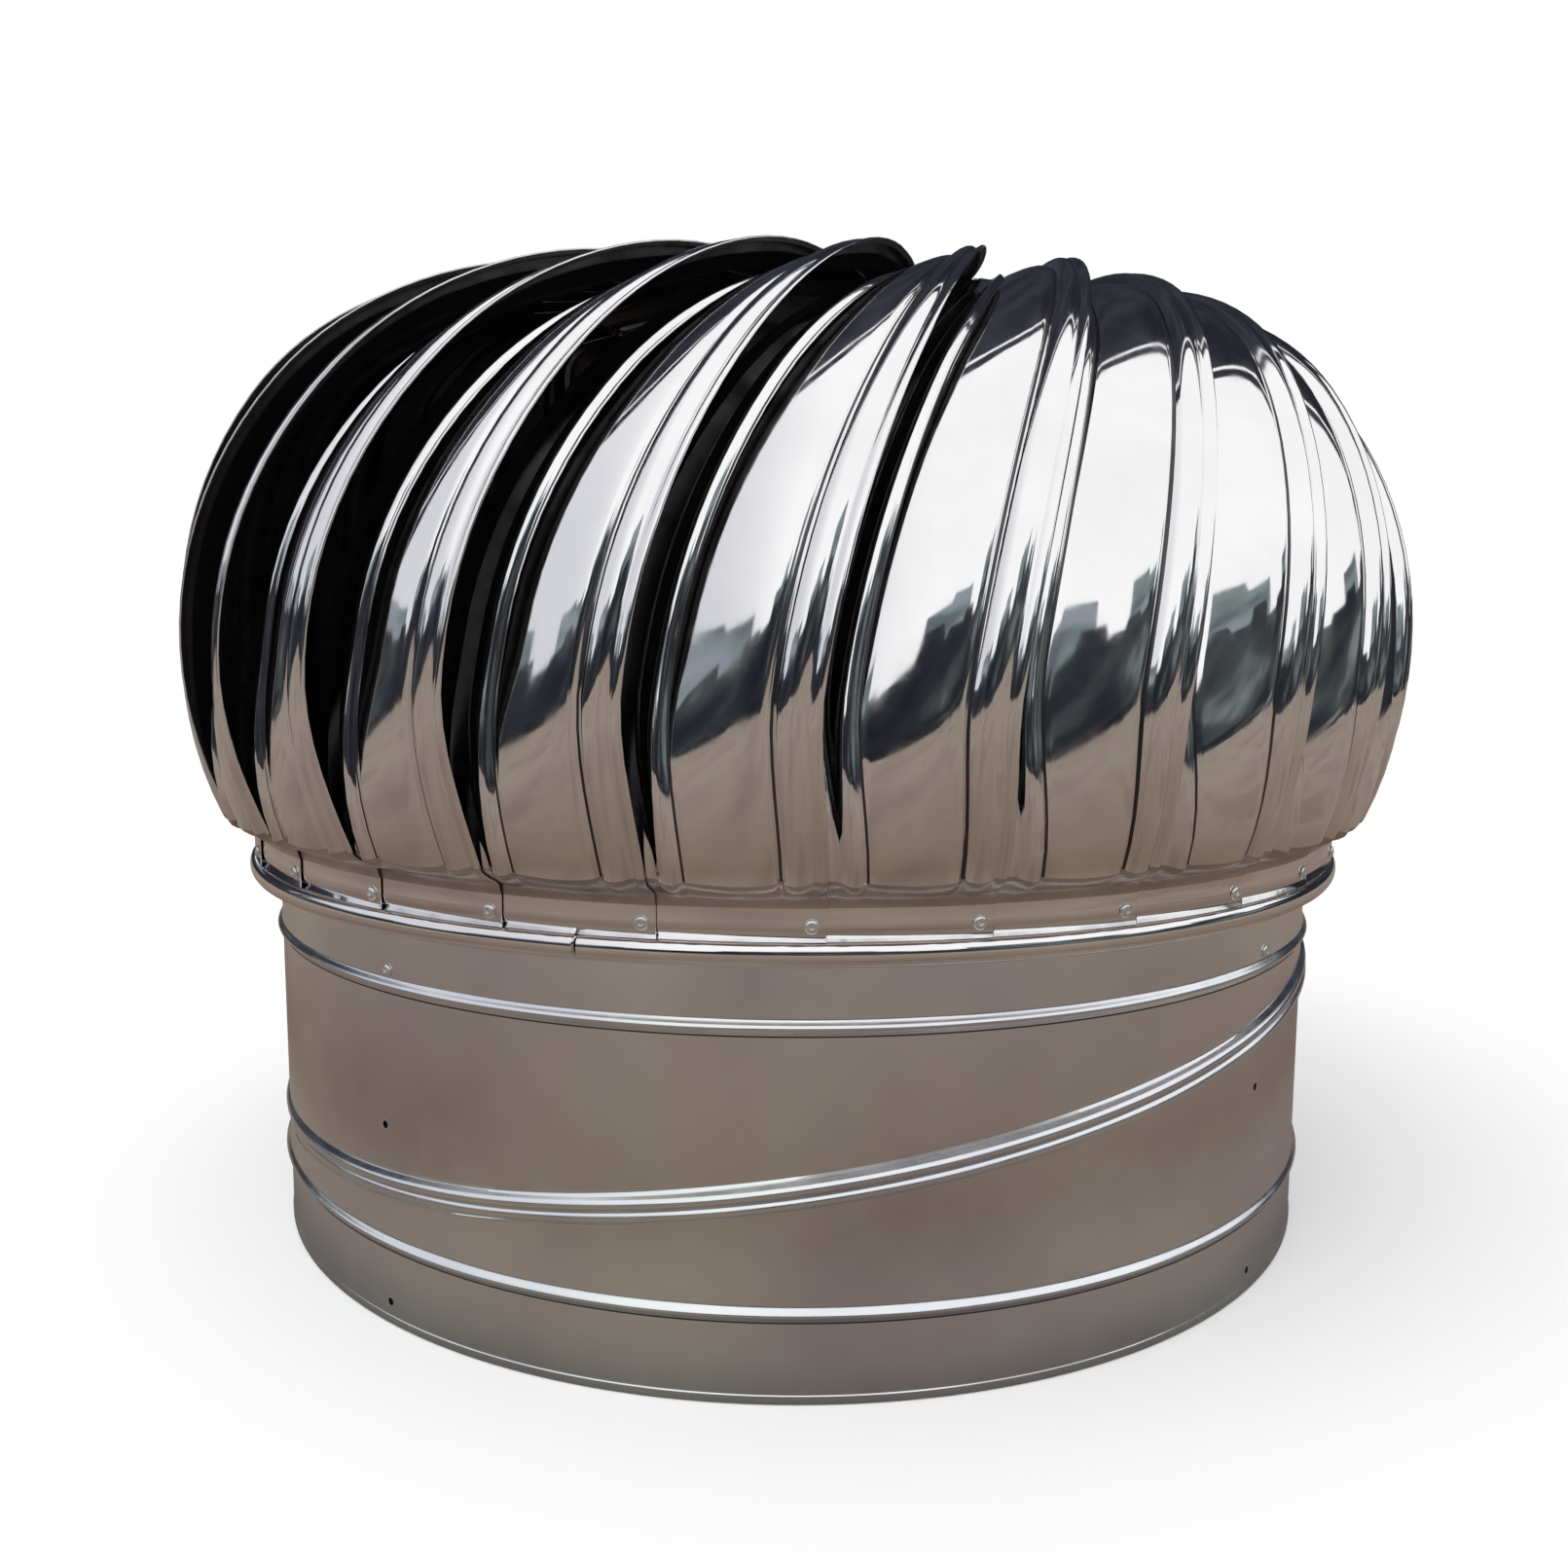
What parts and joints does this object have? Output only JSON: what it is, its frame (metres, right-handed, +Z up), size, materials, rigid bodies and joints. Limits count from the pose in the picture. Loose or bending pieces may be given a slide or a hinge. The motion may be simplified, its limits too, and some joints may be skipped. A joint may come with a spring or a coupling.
{
  "type": "roof turbine ventilator",
  "caption": "Wind-driven roof ventilator: a round head of curved vanes that spins on a two-part neck with an oblique swivel seam.",
  "frame": {"origin": "centre of the neck's bottom edge", "axes": "+Z up along the neck and the rotor shaft; -Y is the side that faces the picture's camera"},
  "size_m": [0.6948, 0.6948, 0.519],
  "materials": {
    "neck_steel": "satin rolled stainless sheet",
    "head_steel": "bright polished stainless sheet",
    "bar_steel": "zinc plated flat bar",
    "cast_alloy": "as cast, machined seats",
    "hub_steel": "zinc plated plate and boss",
    "shaft_steel": "ground bar",
    "bearing_steel": "ground races",
    "rivet_metal": "blind rivet heads",
    "bolt_steel": "zinc plated"
  },
  "bodies": {
    "lower_neck": {"lower_neck": "neck_steel"},
    "upper_neck": {"upper_neck": "neck_steel", "support_arm_1": "bar_steel", "support_arm_2": "bar_steel", "support_arm_3": "bar_steel", "support_arm_4": "bar_steel", "arm_hub": "hub_steel", "shaft": "shaft_steel", "shaft_spacer": "shaft_steel", "bearing_inner_races": "bearing_steel", "shaft_nuts": "bolt_steel", "arm_rivets": "rivet_metal", "arm_bolts": "bolt_steel"},
    "rotor": {"base_ring": "head_steel", "vane_01": "head_steel", "vane_02": "head_steel", "vane_03": "head_steel", "vane_04": "head_steel", "vane_05": "head_steel", "vane_06": "head_steel", "vane_07": "head_steel", "vane_08": "head_steel", "vane_09": "head_steel", "vane_10": "head_steel", "vane_11": "head_steel", "vane_12": "head_steel", "vane_13": "head_steel", "vane_14": "head_steel", "vane_15": "head_steel", "vane_16": "head_steel", "vane_17": "head_steel", "vane_18": "head_steel", "vane_19": "head_steel", "vane_20": "head_steel", "vane_21": "head_steel", "vane_22": "head_steel", "vane_23": "head_steel", "vane_24": "head_steel", "vane_25": "head_steel", "vane_26": "head_steel", "vane_27": "head_steel", "vane_28": "head_steel", "vane_rivets": "rivet_metal", "rotor_spoke_1": "bar_steel", "rotor_spoke_2": "bar_steel", "rotor_spoke_3": "bar_steel", "rotor_spoke_4": "bar_steel", "spoke_bolts": "bolt_steel", "bearing_housings": "cast_alloy", "bearing_outer_races": "bearing_steel", "housing_bolts": "bolt_steel", "top_disc": "head_steel"}
  },
  "joints": [
    {"name": "neck_swivel", "type": "hinge", "parent": "lower_neck", "child": "upper_neck", "pos_m": [0, 0, 0.11205], "axis": [-0.1486, -0.0541, 0.9874], "range_deg": [0, 180]},
    {"name": "rotor_spin", "type": "hinge", "parent": "upper_neck", "child": "rotor", "pos_m": [0, 0, 0.2331], "axis": [0, 0, 1], "continuous": true}
  ]
}
